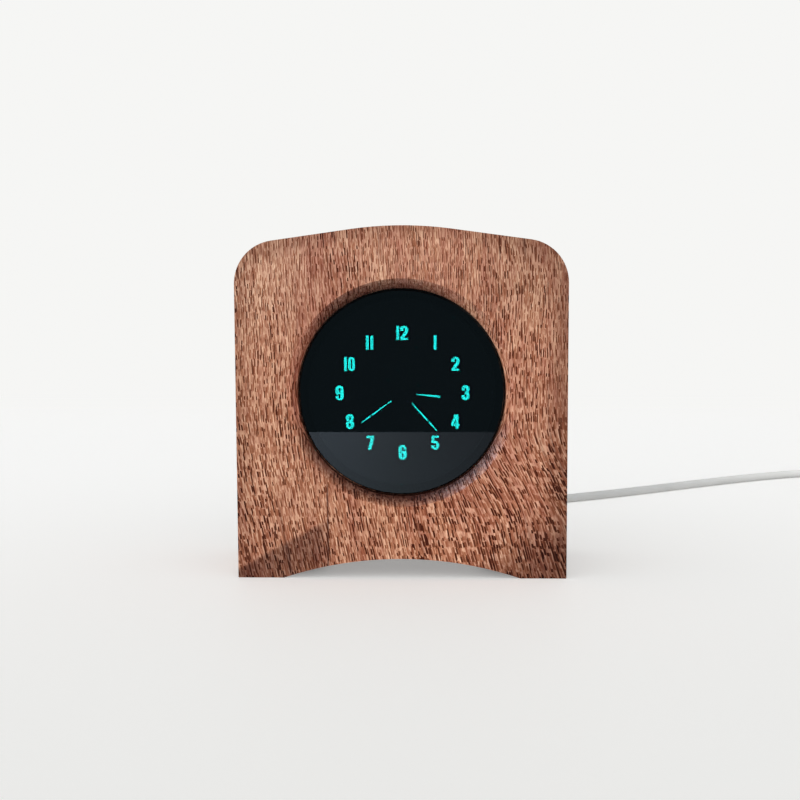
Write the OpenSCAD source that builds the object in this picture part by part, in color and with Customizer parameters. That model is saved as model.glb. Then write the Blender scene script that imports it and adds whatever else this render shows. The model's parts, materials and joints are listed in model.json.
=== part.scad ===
// Wooden desk clock with a round smoked lens, a fluorescent analogue-look display and a USB power lead.
// Millimetres. +Z is up, the dial faces -Y, z = 0 is the table, and the case is centred in X and Y.

/* [Case] */
// Width of the wooden case
case_w = 100; // [97:0.5:130]
// Height of the case at the top of its crown
case_h = 106.6; // [103:0.2:130]
// Depth of the case, front to back
case_d = 42; // [41:0.5:60]
// Radius of the two top corners
corner_r = 13; // [8:0.5:14]
// Radius of the crown in the middle of the top
crown_r = 110; // [60:1:130]
// Fall of the straight slopes beside the crown, in degrees
crown_slope = 7.9; // [5:0.1:9]
// Width of each foot
foot_w = 14; // [8:0.5:20]
// Rise of the arch between the feet
arch_rise = 5.9; // [4.6:0.1:8]

/* [Recess and lens] */
// Height of the crown above the middle of the round recess
bore_drop = 50.2; // [49:0.1:54]
// Radius of the opening in the wooden ledge behind the lens
window_r = 28.6; // [26:0.1:28.8]
// Width of the ledge that the lens overlaps
lens_lap = 2.5; // [1.6:0.1:3]
// Gap around the lens
lens_gap = 0.6; // [0.3:0.1:1]
// Width and depth of the rounded mouth of the recess
mouth_w = 2.8; // [1:0.1:3.4]
// Slope of the mouth where it meets the front face, in degrees
mouth_slope = 36; // [0:1:40]
// Depth of the lens below the front face
lens_setback = 4; // [3.5:0.1:5]
// Thickness of the smoked lens
lens_t = 2; // [1.5:0.1:2.5]
// Bevel round the lens's front edge
lens_bevel = 0.2; // [0.1:0.05:0.6]
// Thickness of the adhesive ring behind the lens
tape_t = 0.2; // [0.1:0.05:0.4]
// How far the tape's edges lie inside the ledge's edges
tape_inset = 0.15; // [0.05:0.05:0.25]
// Thickness of the wooden ledge
ledge_t = 2; // [1.5:0.1:3]

/* [Cavity and back cover] */
// Width of the cavity
cavity_w = 76; // [75.5:0.5:80]
// Height of the cavity
cavity_h = 70; // [69.5:0.5:72]
// Radius of the cavity's corners
cavity_r = 5; // [3:0.5:6]
// Width of the lip that the cover seats on, at the sides
lip_w = 5; // [4.5:0.1:6]
// Radius of the back cover's corners
cover_r = 9; // [7:0.5:10]
// Thickness of the back cover
cover_t = 3; // [2.5:0.1:3.5]
// Gap round the edge of the cover
cover_gap = 0.3; // [0.2:0.05:0.5]
// Depth of the cover's outer face below the back of the case
cover_inset = 1.4; // [1.2:0.1:2]

/* [Display] */
// Width of the display's glass envelope
glass_w = 62; // [61:0.1:62.4]
// Height of the display's glass envelope
glass_h = 64; // [62:0.1:64.4]
// Distance of the dial's middle below the recess's middle
dial_drop = 0.9; // [0:0.1:1.2]
// Thickness of the foam gasket in front of the glass
gasket_t = 0.8; // [0.5:0.1:1.2]
// Thickness of the face glass and of the anode plate
glass_t = 1.8; // [1.2:0.1:2]
// Depth of the spacer frame between the glasses
spacer_t = 4; // [3.6:0.1:4.4]
// Width of the spacer frame's wall
spacer_w = 1.6; // [1:0.1:1.8]
// Thickness of the phosphor on the anode plate
phosphor_t = 0.08; // [0.05:0.01:0.12]
// Diameter of a filament wire
filament_d = 0.1; // [0.06:0.01:0.2]
// Thickness of the foam pads behind the anode plate
pad_t = 2; // [1.6:0.1:2.4]
// Number of lead pins along one edge
pin_count = 20; // [10:1:22]
// Pitch of the lead pins
pin_pitch = 2.2; // [1.8:0.1:2.4]

/* [Dial] */
// Distance of the 3 and the 9 from the middle of the dial
numeral_ring_r = 19.7; // [18:0.1:20.5]
// Height of a numeral
numeral_h = 4.4; // [3.6:0.1:4.8]
// Radius where the hands begin
hand_in_r = 4.4; // [3.6:0.1:5]
// Radius where the hour hand ends
hour_out_r = 11.8; // [10:0.1:12]
// Room between the ends of the long hands and the circle through the 3 and the 9
hand_clear = 3.7; // [3.6:0.1:4.5]
// Break between the inner and the outer segment of a hand
hand_break = 0.6; // [0.2:0.05:0.7]
// Width of the hour hand at its outer end
hour_hand_w = 0.65; // [0.4:0.05:0.7]
// Width of the minute hand beside its break
minute_hand_w = 0.52; // [0.3:0.01:0.6]
// Width of the second hand beside its break
second_hand_w = 0.5; // [0.3:0.01:0.6]
// Width of a hand's narrow ends, as a share of its width
hand_taper = 0.45; // [0.3:0.05:0.8]

/* [Boards] */
// Thickness of both circuit boards
board_t = 1.6; // [1.2:0.1:1.8]
// Outer radius of a display board spacer
post_r = 2.2; // [1.8:0.1:2.3]
// Width of the control board
control_w = 62; // [61:0.5:64]
// Height of the control board
control_h = 58; // [57.5:0.5:60]
// Length of the standoffs between the control board and the cover
standoff_l = 6.5; // [6.2:0.1:7]
// Radius of every screw's shank
screw_r = 0.95; // [0.8:0.05:1]
// Radius of every screw's head
head_r = 1.9; // [1.6:0.1:2]
// Diameter of the coin cell
cell_d = 16; // [12:0.5:16]
// Thickness of the coin cell
cell_t = 2; // [1.6:0.1:2.5]
// Radius of the buzzer
buzzer_r = 6; // [4:0.1:6.5]

/* [Buttons] */
// Radius of a button cap
button_r = 3.2; // [2.5:0.1:4]
// Distance from one button to the next
button_pitch = 15; // [12:0.5:17]
// Height of a cap above the cover
button_proud = 1.1; // [0.7:0.1:1.2]
// Width of the flange that keeps a cap in
flange_lap = 1.2; // [0.8:0.1:1.6]
// Gap all round a cap
button_gap = 0.3; // [0.25:0.05:0.4]
// Height of a switch's housing
switch_h = 3.5; // [3:0.1:3.7]
// Radius of a switch's plunger
plunger_r = 1.7; // [1.2:0.1:1.9]
// Radial clearance of a plunger in its housing
plunger_gap = 0.08; // [0.05:0.01:0.1]

/* [Power lead] */
// Distance of the power socket below the recess's middle
usb_drop = 26.4; // [25.5:0.1:27]
// Width of the moulded plug body
plug_w = 12; // [11:0.1:13]
// Height of the moulded plug body
plug_h = 6.6; // [6:0.1:7.5]
// Length of the moulded plug body
plug_l = 20.2; // [16:0.1:24]
// Length of the strain relief behind the plug
relief_l = 12; // [8:0.5:20]
// Diameter of the cord
cord_d = 3.5; // [3:0.1:3.6]
// Number of loops in the tied coil
coil_loops = 5; // [3:1:7]
// Gap between loops that lie side by side or over each other
loop_gap = 0.5; // [0.45:0.05:0.8]
// Thickness of the tie round the coil
tie_t = 0.5; // [0.3:0.1:0.8]
// Width of the tie
tie_w = 6; // [4:0.5:8]

/* [Hidden] */
$fn = 96;

// Colours
wood_colour = [0.62, 0.38, 0.28];
smoke_colour = [0.03, 0.04, 0.05, 0.6];
clear_colour = [0.75, 0.85, 0.85, 0.3];
black_colour = [0.07, 0.07, 0.08];
lit_colour = [0.12, 0.94, 0.88];
unlit_colour = [0.16, 0.18, 0.18];
board_colour = [0.05, 0.25, 0.12];
metal_colour = [0.75, 0.76, 0.78];
brass_colour = [0.78, 0.62, 0.3];
white_colour = [0.92, 0.92, 0.9];

// Stations from front to back
front_y = -case_d / 2;
back_y = case_d / 2;
lens_y = front_y + lens_setback;
tape_y = lens_y + lens_t;
ledge_y = tape_y + tape_t;
cavity_y = ledge_y + ledge_t;
face_glass_y = cavity_y + gasket_t;
spacer_y = face_glass_y + glass_t;
anode_y = spacer_y + spacer_t;
pad_y = anode_y + glass_t;
board_y = pad_y + pad_t;
board_back_y = board_y + board_t;
cover_back_y = back_y - cover_inset;
cover_y = cover_back_y - cover_t;
control_back_y = cover_y - standoff_l;
control_y = control_back_y - board_t;

// Heights and radii that follow from the driving sizes
bore_z = case_h - bore_drop;
dial_z = bore_z - dial_drop;
usb_z = bore_z - usb_drop;
lens_r = window_r + lens_lap;
bore_r = lens_r + lens_gap;
mouth_arc_r = mouth_w / (cos(mouth_slope) - sin(mouth_slope));
arch_half = case_w / 2 - foot_w;
arch_r = (arch_half ^ 2 + arch_rise ^ 2) / (2 * arch_rise);
crown_half = crown_r * sin(crown_slope);
crown_side_z = case_h - crown_r * (1 - cos(crown_slope));
corner_x = case_w / 2 - corner_r;
slope_run = corner_x + corner_r * sin(crown_slope) - crown_half;
corner_top_z = crown_side_z - slope_run * tan(crown_slope);
corner_z = corner_top_z - corner_r * cos(crown_slope);
cover_w = cavity_w + 2 * lip_w;
cover_h = cavity_h + 2 * lip_w;

// Small clearances and cutting margins
cut = 1;
hair = 0.05;
screw_gap = 0.15;

// Screw places, measured from the middle of the recess or of the dial
corner_reach = (sqrt(2) - 1) / sqrt(2);
cavity_diag = [cavity_w / 2 - cavity_r * corner_reach, cavity_h / 2 - cavity_r * corner_reach];
cover_diag = [cover_w / 2 - cover_r * corner_reach, cover_h / 2 - cover_r * corner_reach];
cover_screw = (cavity_diag + cover_diag) / 2;
post_edge = 0.3;
post_x = (glass_w / 2 + cavity_w / 2) / 2 - post_edge / 2;
post_z = cavity_h / 2 - dial_drop - cavity_r;
board_margin = 0.6;
display_board_w = cavity_w - 2 * board_margin;
display_board_h = cavity_h - 2 * dial_drop - 2 * board_margin;
standoff_edge = 3.5;
standoff = [control_w / 2 - standoff_edge, control_h / 2 - standoff_edge];
standoff_r = 2.3;
insert_r = 1.6;
insert_l = 4;
cover_screw_l = 5;
pilot_l = 4.5;
head_t = 1.3;

// Places of parts on the control board, as x and height from the middle of the recess
button_row = 15.5;
buzzer_at = [-17, -8];
capacitor_at = [[14, -7], [21.5, -7]];
chip_at = [-14, 4];
timekeeper_at = [-17, -11];
crystal_at = [-17, -18];
cell_at = [14, 0];
inductor_at = [2, -17];
header_rise = 24;
header_pins = 12;
header_cell_w = 2.54;
header_t = 2.5;
header_w = 2.5;
pin_w = 0.64;
socket_floor = 1.8;
socket_pin_room = 0.5;

// Sizes of bought-in parts
chip_w = 10;
chip_t = 1.4;
timekeeper_w = 5.5;
timekeeper_t = 1.5;
crystal_w = 5;
crystal_h = 3.2;
crystal_t = 1.2;
inductor_r = 4;
inductor_t = 4;
capacitor_r = 3.15;
capacitor_l = 5.4;
buzzer_l = 5.5;
driver_w = 10;
driver_h = 7.5;
driver_t = 1.1;
switch_w = 6;
switch_bore_l = 1.6;
plunger_in = 0.8;
flange_t = 0.7;
flange_r = button_r + flange_lap;
sound_hole_r = 0.8;
sound_ring_r = 3;
sound_holes = 6;
holder_wall = 1.4;
holder_base = 1;
cell_clear = 0.2;
holder_slot_w = 8;

// Time shown, as hours, minutes and seconds, and the minute marks that the hands then point at
time_shown = [3, 23, 39];
hour_mark = floor(5 * time_shown[0] + time_shown[1] / 12);
minute_mark = time_shown[1];
second_mark = time_shown[2];
minute_out_r = numeral_ring_r - hand_clear;

// Display parts
inner_w = glass_w - 2 * spacer_w;
inner_h = glass_h - 2 * spacer_w;
grid_t = 0.1;
grid_y = anode_y - 1.5;
grid_aperture_r = min(inner_w / 2 - 0.5, window_r + 0.3);
support_w = 48;
support_t = 1;
support_y = spacer_y + 0.8;
filament_x = [-12.7, -4.6, 4.6, 12.7];
getter_at = [25, 26.5];
getter_r = 1.8;
getter_wire = 0.6;
tip_at = [-26.5, -27];
tip_r = 2;
tip_l = 3;
tip_hole_gap = 0.6;
pad_w = 6;
pad_h = 48;
pad_x = 18;
lead_w = 0.5;
lead_t = 0.5;

// Power socket and plugs
socket_w = 9;
socket_h = 3.2;
socket_wall = 0.25;
socket_sink = 1;
tongue_w = 6.6;
tongue_t = 0.7;
tongue_base = 1.5;
tongue_back = 0.8;
plug_tip_w = 8.25;
plug_tip_h = 2.4;
plug_tip_l = 6.5;
plug_sink = 0.8;
plug_round = 2.4;
plug_room = 0.5;
relief_thick_r = 2.9;
relief_thin_r = 2.2;
supply_w = 16;
supply_t = 8;
supply_l = 20;
supply_round = 2;
supply_tip_w = 12;
supply_tip_t = 4.5;
supply_tip_l = 12;
supply_tip_wall = 0.3;
supply_tongue_t = 1.9;
supply_relief_l = 10;

// Route of the free cord, from the strain relief to the coil
cord_route = [
  [0, 51, 30], [0, 56, 30], [0.3, 64, 28.8], [2.4, 71.7, 25.3], [6.4, 78.6, 20.2], [12.2, 84.1, 14.4],
  [19, 88, 8.8], [26.4, 91.4, 4.5], [33.6, 94.8, 2.2], [41, 98.2, 1.75], [50, 102.6, 1.75],
  [59, 107.2, 1.75], [68, 112, 1.75], [77, 117.1, 1.75], [86, 122.5, 1.75], [95, 128.1, 1.75],
  [104, 133.9, 1.75], [113, 139.8, 1.75], [122, 145.7, 1.75], [131, 151.5, 1.75], [140, 157.2, 1.75],
  [149, 162.7, 1.75], [158, 167.9, 1.75], [167, 172.7, 1.75], [176, 176.9, 1.75], [185, 180.2, 1.75],
  [194, 182.2, 1.75], [203, 182.5, 1.75], [211.5, 181, 1.8], [219.3, 176.9, 1.9], [225.9, 170.3, 2],
  [230.1, 162.1, 2.1], [231.5, 153, 2.2], [231.5, 145.5, 2.3], [231.5, 138.5, 2.3]
];
cord_sides = 8;
coil_sides = 6;
coil_rings = 24;

// Coil: clockwise from its right-hand side, in on the lower layer and out on the upper one
coil_at = [207, 135];
coil_out_r = 24.5;
coil_low_z = tie_t + hair + cord_d / 2;
loop_step = cord_d + loop_gap;
coil_high_z = coil_low_z + loop_step;
tail_straight = 14;
tail_fall = 24;
tail_steps = 6;
tail_end_z = supply_t / 2;

function smooth(t) = let (u = max(0, min(1, t))) u * u * (3 - 2 * u);
function coil_r(turn) = coil_out_r - loop_step * (coil_loops / 2 - abs(turn - coil_loops / 2));
function coil_z(turn) =
  coil_low_z + loop_step * smooth((turn - coil_loops / 2 + 0.25) / 0.5);
function coil_point(turn) = [
  coil_at.x + coil_r(turn) * cos(-360 * turn),
  coil_at.y + coil_r(turn) * sin(-360 * turn),
  coil_z(turn)
];
function tail_z(run) =
  coil_high_z + (tail_end_z - coil_high_z) * smooth((run - tail_straight) / tail_fall);
tail_x = coil_at.x + coil_out_r;
tail_l = tail_straight + tail_fall + cord_d;
coil_points = [
  [tail_x, coil_at.y + cord_d, coil_low_z],
  for (i = [0 : coil_rings * coil_loops]) coil_point(i / coil_rings),
  [tail_x, coil_at.y - tail_straight, coil_high_z],
  for (i = [1 : tail_steps])
    let (run = tail_straight + tail_fall * i / tail_steps) [tail_x, coil_at.y - run, tail_z(run)],
  [tail_x, coil_at.y - tail_l, tail_end_z]
];
supply_relief_y = coil_at.y - tail_l;

// Least gap between loops that aren't next to each other along the tube
half_loop = coil_rings / 2;
coil_gap = min([
  for (i = [0 : len(coil_points) - 1], j = [i + half_loop : 1 : len(coil_points) - 1])
    norm(coil_points[i] - coil_points[j])
]) - cord_d;
function length_of(points, i = 1) =
  i < len(points) ? norm(points[i] - points[i - 1]) + length_of(points, i + 1) : 0;
echo(coil_least_gap = coil_gap);
echo(free_cord_length = length_of(cord_route));
echo(coil_cord_length = length_of(coil_points));

// Shared shapes

// Extrudes a shape drawn in X and Z from one station to another
module slab(y0, y1) {
  translate([0, y1, 0])
    rotate([90, 0, 0])
      linear_extrude(y1 - y0)
        children();
}

module rod(r, y0, y1) {
  slab(y0, y1)
    circle(r);
}

module round_rect(w, h, r) {
  square([w - 2 * r, h], center = true);
  square([w, h - 2 * r], center = true);
  for (x = [-1, 1], z = [-1, 1])
    translate([x * (w / 2 - r), z * (h / 2 - r)])
      circle(r);
}

module racetrack(w, h) {
  square([w - h, h], center = true);
  for (x = [-1, 1])
    translate([x * (w - h) / 2, 0])
      circle(h / 2);
}

module block(w, h, y0, y1) {
  slab(y0, y1)
    square([w, h], center = true);
}

module at(p, z) {
  translate([p.x, 0, z + p.y])
    children();
}

module at_corners(p, z) {
  for (x = [-1, 1], s = [-1, 1])
    at([x * p.x, s * p.y], z)
      children();
}

// Screw with a countersunk head, its flat face at y and its shank running to -Y
module countersunk(y, length, gap = 0) {
  translate([0, y, 0])
    rotate([90, 0, 0])
      cylinder(r1 = head_r + gap, r2 = screw_r + gap, h = head_t);
  rod(screw_r + gap, y - length, y - head_t + hair);
}

// Screw with a domed head sitting on y, its shank running along dir
module pan_screw(y, length, dir) {
  rod(screw_r, min(y, y + dir * length), max(y, y + dir * length));
  translate([0, y, 0])
    rotate([dir * 90, 0, 0])
      rotate_extrude()
        intersection() {
          square([head_r, head_t]);
          translate([0, head_t - 2.4 * head_r])
            circle(2.4 * head_r);
        }
}

// Tube swept along a list of points, with a ring of corners at each point
module tube(points, r, sides) {
  last = len(points) - 1;
  corners = [
    for (i = [0 : last])
      let (
        along = points[min(i + 1, last)] - points[max(i - 1, 0)],
        t = along / norm(along),
        across = cross(t, [0, 0, 1]),
        s = across / norm(across),
        u = cross(s, t)
      )
      for (k = [0 : sides - 1])
        points[i] + r * (cos(360 * k / sides) * s + sin(360 * k / sides) * u)
  ];
  first_cap = [for (k = [1 : sides - 2]) [0, k, k + 1]];
  end = last * sides;
  last_cap = [for (k = [1 : sides - 2]) [end, end + k + 1, end + k]];
  walls = [
    for (i = [0 : last - 1], k = [0 : sides - 1])
      let (a = i * sides + k, b = i * sides + (k + 1) % sides)
      each [[a, a + sides, b + sides], [a, b + sides, b]]
  ];
  polyhedron(corners, concat(first_cap, last_cap, walls));
}

// Case

module case_outline() {
  difference() {
    union() {
      polygon([
        [-case_w / 2, 0], [case_w / 2, 0],
        [case_w / 2, corner_z],
        [crown_half + slope_run, corner_top_z],
        [crown_half, crown_side_z], [-crown_half, crown_side_z],
        [-crown_half - slope_run, corner_top_z],
        [-case_w / 2, corner_z]
      ]);
      for (x = [-1, 1])
        translate([x * corner_x, corner_z])
          circle(corner_r);
      intersection() {
        translate([0, case_h - crown_r])
          circle(crown_r, $fn = 240);
        translate([-crown_half, corner_z])
          square([2 * crown_half, case_h]);
      }
    }
    translate([0, arch_rise - arch_r])
      circle(arch_r, $fn = 240);
  }
}

module mouth_cutter() {
  translate([0, front_y, bore_z])
    rotate([90, 0, 0])
      rotate_extrude()
        difference() {
          translate([bore_r - cut, -mouth_w])
            square([mouth_w + cut, mouth_w + cut]);
          translate([bore_r + mouth_w + mouth_arc_r * sin(mouth_slope), -mouth_arc_r * cos(mouth_slope)])
            circle(mouth_arc_r);
        }
}

module wood_case() {
  color(wood_colour)
    difference() {
      slab(front_y, back_y)
        case_outline();
      mouth_cutter();
      at([0, 0], bore_z) {
        rod(bore_r, front_y - cut, ledge_y);
        rod(window_r, ledge_y - cut, cavity_y + cut);
        slab(cavity_y, back_y + cut)
          round_rect(cavity_w, cavity_h, cavity_r);
        slab(cover_y, back_y + cut)
          round_rect(cover_w + 2 * cover_gap, cover_h + 2 * cover_gap, cover_r + cover_gap);
      }
      at_corners([post_x, post_z], dial_z)
        rod(screw_r + hair, cavity_y - pilot_l - hair, cavity_y + cut);
      at_corners(cover_screw, bore_z) {
        rod(insert_r + hair, cover_y - insert_l, cover_y + cut);
        rod(screw_r + screw_gap, cover_y - cover_screw_l, cover_y);
      }
    }
}

module front_lens() {
  color(smoke_colour)
    translate([0, tape_y, bore_z])
      rotate([90, 0, 0])
        rotate_extrude()
          polygon([
            [0, 0], [lens_r, 0], [lens_r, lens_t - lens_bevel],
            [lens_r - lens_bevel, lens_t], [0, lens_t]
          ]);
}

module lens_adhesive_ring() {
  color(black_colour)
    at([0, 0], bore_z)
      slab(tape_y, ledge_y)
        difference() {
          circle(bore_r - tape_inset);
          circle(window_r - tape_inset);
        }
}

module back_cover() {
  color(black_colour)
    difference() {
      at([0, 0], bore_z)
        slab(cover_y, cover_back_y)
          difference() {
            round_rect(cover_w, cover_h, cover_r);
            for (i = [-1 : 1])
              translate([i * button_pitch, button_row])
                circle(button_r + button_gap);
            for (i = [0 : sound_holes])
              translate(buzzer_at)
                rotate(i * 360 / sound_holes)
                  translate([i < sound_holes ? sound_ring_r : 0, 0])
                    circle(sound_hole_r);
            translate([0, -usb_drop])
              round_rect(plug_w + 2 * plug_room, plug_h + 2 * plug_room, plug_round + plug_room);
          }
      at_corners(cover_screw, bore_z)
        countersunk(cover_back_y + hair, cover_t + cut, screw_gap);
      at_corners(standoff, bore_z)
        countersunk(cover_back_y + hair, cover_t + cut, screw_gap);
    }
}

module cover_screws() {
  color(metal_colour)
    at_corners(cover_screw, bore_z)
      difference() {
        countersunk(cover_back_y - hair, cover_t + insert_l - cut / 2);
        cross_recess(cover_back_y - hair);
      }
}

// Cross slot cut into a screw head at y
module cross_recess(y) {
  slab(y - head_t / 2, y + cut) {
    square([head_r, head_r / 5], center = true);
    square([head_r / 5, head_r], center = true);
  }
}

module cover_inserts() {
  color(brass_colour)
    at_corners(cover_screw, bore_z)
      slab(cover_y - insert_l, cover_y)
        difference() {
          circle(insert_r);
          circle(screw_r + hair);
        }
}

// Display

module display_gasket() {
  color(black_colour)
    at([0, 0], dial_z)
      slab(cavity_y, face_glass_y)
        difference() {
          square([glass_w, glass_h], center = true);
          translate([0, dial_drop])
            circle(window_r + hair);
        }
}

module display_face_glass() {
  color(clear_colour)
    at([0, 0], dial_z)
      block(glass_w, glass_h, face_glass_y, spacer_y);
}

module display_spacer_frame() {
  color(clear_colour)
    at([0, 0], dial_z)
      slab(spacer_y, anode_y)
        difference() {
          square([glass_w, glass_h], center = true);
          square([inner_w, inner_h], center = true);
        }
}

module display_anode_plate() {
  color(black_colour)
    at([0, 0], dial_z)
      block(glass_w, glass_h, anode_y, pad_y);
}

// Numeral shapes, drawn glyph_h tall about their own middle
glyph_h = 4.7;
glyph_top = glyph_h / 2;
digit_half = 1.35;
one_w = 0.9;
// Gap after the first digit of 10, 11 and 12
one_gaps = [0.45, 0.6, 0.3];
counter_w = 0.56;

module upright(w, h) {
  for (s = [-1, 1])
    translate([0, s * (h - w) / 2])
      circle(w / 2, $fn = 48);
  if (h > w)
    square([w, h - w], center = true);
}

module digit_0() {
  w = 2.2;
  difference() {
    upright(w, glyph_h);
    upright(counter_w * 0.85, glyph_h - 1.4);
  }
}

module digit_1() {
  square([one_w, glyph_h], center = true);
}

module digit_2() {
  bar = 0.72;
  bowl_z = glyph_top - digit_half;
  hook_z = bowl_z - 0.35;
  join_z = bowl_z - 0.6;
  difference() {
    translate([0, bowl_z])
      circle(digit_half, $fn = 48);
    translate([0, bowl_z - 0.2])
      upright(counter_w, 1.75);
    translate([-2 * digit_half, hook_z - glyph_top])
      square([2 * digit_half + counter_w / 2, glyph_top]);
    translate([-digit_half, join_z - glyph_top])
      square([3 * digit_half, glyph_top]);
  }
  polygon([
    [digit_half, bowl_z], [counter_w / 2, bowl_z - 0.1], [counter_w / 2 - 0.1, bowl_z - 0.6],
    [-digit_half + 0.1, -glyph_top + bar], [-digit_half + 0.1, -glyph_top],
    [-0.1, -glyph_top + bar], [digit_half - 0.15, bowl_z - 0.9], [digit_half - 0.02, bowl_z - 0.4]
  ]);
  translate([-digit_half + 0.1, -glyph_top])
    square([2 * digit_half - 0.2, bar]);
}

module two_bowls() {
  upper_h = 2.5;
  lower_h = 2.7;
  difference() {
    union() {
      translate([0, glyph_top - upper_h / 2])
        upright(2 * digit_half - 0.1, upper_h + 0.1);
      translate([0, -glyph_top + lower_h / 2])
        upright(2 * digit_half, lower_h);
    }
    translate([0, glyph_top - 1.37])
      upright(counter_w, 1.15);
    translate([0, -glyph_top + 1.37])
      upright(counter_w, 1.2);
  }
}

module digit_3() {
  notch = 0.75;
  difference() {
    two_bowls();
    translate([-2 * digit_half, -notch])
      square([2 * digit_half - counter_w / 2 + 0.05, 2 * notch]);
  }
}

module digit_4() {
  stem_l = 0.02;
  stem_r = 0.98;
  bar_low = -1.45;
  bar_high = -0.75;
  translate([stem_l, -glyph_top])
    square([stem_r - stem_l, glyph_h]);
  translate([-digit_half, bar_low])
    square([2 * digit_half, bar_high - bar_low]);
  polygon([
    [stem_l + 0.2, glyph_top], [-0.35, glyph_top], [-digit_half, bar_high + 0.1],
    [-digit_half, bar_low], [-0.5, bar_high], [stem_l, 1.05], [stem_l + 0.2, 1.05]
  ]);
}

module digit_5() {
  bar = 0.72;
  bowl_h = 2.95;
  stem_w = 0.9;
  left = -digit_half + 0.1;
  translate([left, glyph_top - bar])
    square([2 * digit_half - 0.2, bar]);
  translate([left, -0.05])
    square([stem_w, glyph_top]);
  difference() {
    translate([0, -glyph_top + bowl_h / 2])
      upright(2 * digit_half, bowl_h);
    translate([0, -glyph_top + bowl_h / 2 - 0.05])
      upright(counter_w, 1.55);
    translate([-2 * digit_half, -0.85])
      square([2 * digit_half - counter_w / 2 + 0.05, 0.8]);
  }
}

module digit_6() {
  difference() {
    upright(2 * digit_half, glyph_h);
    translate([0, -glyph_top + 1.4])
      upright(counter_w, 1.4);
    translate([0, 1.1])
      upright(counter_w, 1.2);
    translate([-counter_w / 2, 0.45])
      square([counter_w, 0.7]);
    translate([0, 0.45])
      square([2 * digit_half, 0.5]);
  }
}

module digit_7() {
  bar = 0.75;
  side = digit_half - 0.1;
  polygon([
    [-side, glyph_top], [side, glyph_top], [side, glyph_top - 1.15], [0.3, -glyph_top],
    [-0.75, -glyph_top], [0.25, glyph_top - bar], [-side, glyph_top - bar]
  ]);
}

module digit(n) {
  if (n == 0) digit_0();
  if (n == 1) digit_1();
  if (n == 2) digit_2();
  if (n == 3) digit_3();
  if (n == 4) digit_4();
  if (n == 5) digit_5();
  if (n == 6) digit_6();
  if (n == 7) digit_7();
  if (n == 8) two_bowls();
  if (n == 9) rotate(180) digit_6();
}

function digit_w(n) = n == 0 ? 2.2 : n == 1 ? one_w : 2 * digit_half;

// Digits that are round at both ends stand a little taller
function rise(n) = n == 3 || n == 6 || n == 8 || n == 9 ? 1.05 : 1;

module numeral(n) {
  if (n < 10)
    scale([1, rise(n)])
      digit(n);
  else {
    units = n - 10;
    total = one_w + one_gaps[units] + digit_w(units);
    translate([(one_w - total) / 2, 0])
      digit(1);
    translate([(total - digit_w(units)) / 2, 0])
      digit(units);
  }
}

// Places of 12, 1, 2 and 3, as shares of the distance of the 3; the other quarters mirror them
numeral_places = [[0, 0.952], [0.518, 0.797], [0.84, 0.459], [1, 0]];

function numeral_at(n) =
  let (place = numeral_places[n % 6 > 3 ? 6 - n % 6 : n % 6])
    numeral_ring_r * [n > 6 && n < 12 ? -place[0] : place[0], n > 3 && n < 9 ? -place[1] : place[1]];

module hour_numerals() {
  color(lit_colour)
    at([0, 0], dial_z)
      slab(anode_y - phosphor_t, anode_y)
        for (n = [1 : 12])
          translate(numeral_at(n))
            scale(numeral_h / glyph_h)
              numeral(n);
}

// One straight segment of a hand, at a minute mark, with its width at each end
module hand_segment(mark, r0, r1, w0, w1) {
  at([0, 0], dial_z)
    slab(anode_y - phosphor_t, anode_y)
      rotate(-6 * mark)
        polygon([[-w0 / 2, r0], [w0 / 2, r0], [w1 / 2, r1], [-w1 / 2, r1]]);
}

module short_hand(mark, w) {
  hand_segment(mark, hand_in_r, hour_out_r, hand_taper * w, w);
}

module long_hand(mark, w) {
  short_hand(mark, w);
  hand_segment(mark, hour_out_r + hand_break, minute_out_r, w, hand_taper * w);
}

module hour_hand() {
  color(lit_colour)
    short_hand(hour_mark, hour_hand_w);
}

module minute_hand() {
  color(lit_colour)
    long_hand(minute_mark, minute_hand_w);
}

module second_hand() {
  color(lit_colour)
    long_hand(second_mark, second_hand_w);
}

module unlit_hand_segments() {
  unlit_w = 0.2;
  near = 1;
  color(unlit_colour)
    for (m = [0 : 59])
      if (abs(m - hour_mark) > near && abs(m - minute_mark) > near && abs(m - second_mark) > near)
        long_hand(m, unlit_w);
}

module grid_frame() {
  color(metal_colour)
    at([0, 0], dial_z)
      slab(grid_y, grid_y + grid_t)
        difference() {
          square([inner_w, inner_h], center = true);
          circle(grid_aperture_r);
        }
}

module filament_supports() {
  color(metal_colour)
    for (s = [-1, 1])
      at([0, s * (inner_h - support_t) / 2], dial_z)
        block(support_w, support_t, support_y, support_y + support_t);
}

module filament_wires() {
  color(metal_colour)
    for (x = filament_x)
      translate([x, support_y + support_t / 2, dial_z - inner_h / 2 + support_t])
        cylinder(d = filament_d, h = inner_h - 2 * support_t, $fn = 24);
}

module getter_ring() {
  color(metal_colour)
    at(getter_at, dial_z)
      slab(anode_y - getter_wire, anode_y)
        difference() {
          circle(getter_r);
          circle(getter_r - getter_wire);
        }
}

module exhaust_tip() {
  color(clear_colour)
    at(tip_at, dial_z) {
      rod(tip_r, pad_y, pad_y + tip_l);
      translate([0, pad_y + tip_l, 0])
        sphere(tip_r);
    }
}

module display_pins() {
  color(metal_colour)
    for (i = [0 : pin_count - 1], s = [-1, 1])
      at([(i - (pin_count - 1) / 2) * pin_pitch, s * (glass_h + lead_t) / 2], dial_z)
        block(lead_w, lead_t, anode_y - lead_t / 2, board_y);
}

module display_foam_pads() {
  color(black_colour)
    for (x = [-1, 1])
      at([x * pad_x, 0], dial_z)
        block(pad_w, pad_h, pad_y, board_y);
}

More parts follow.
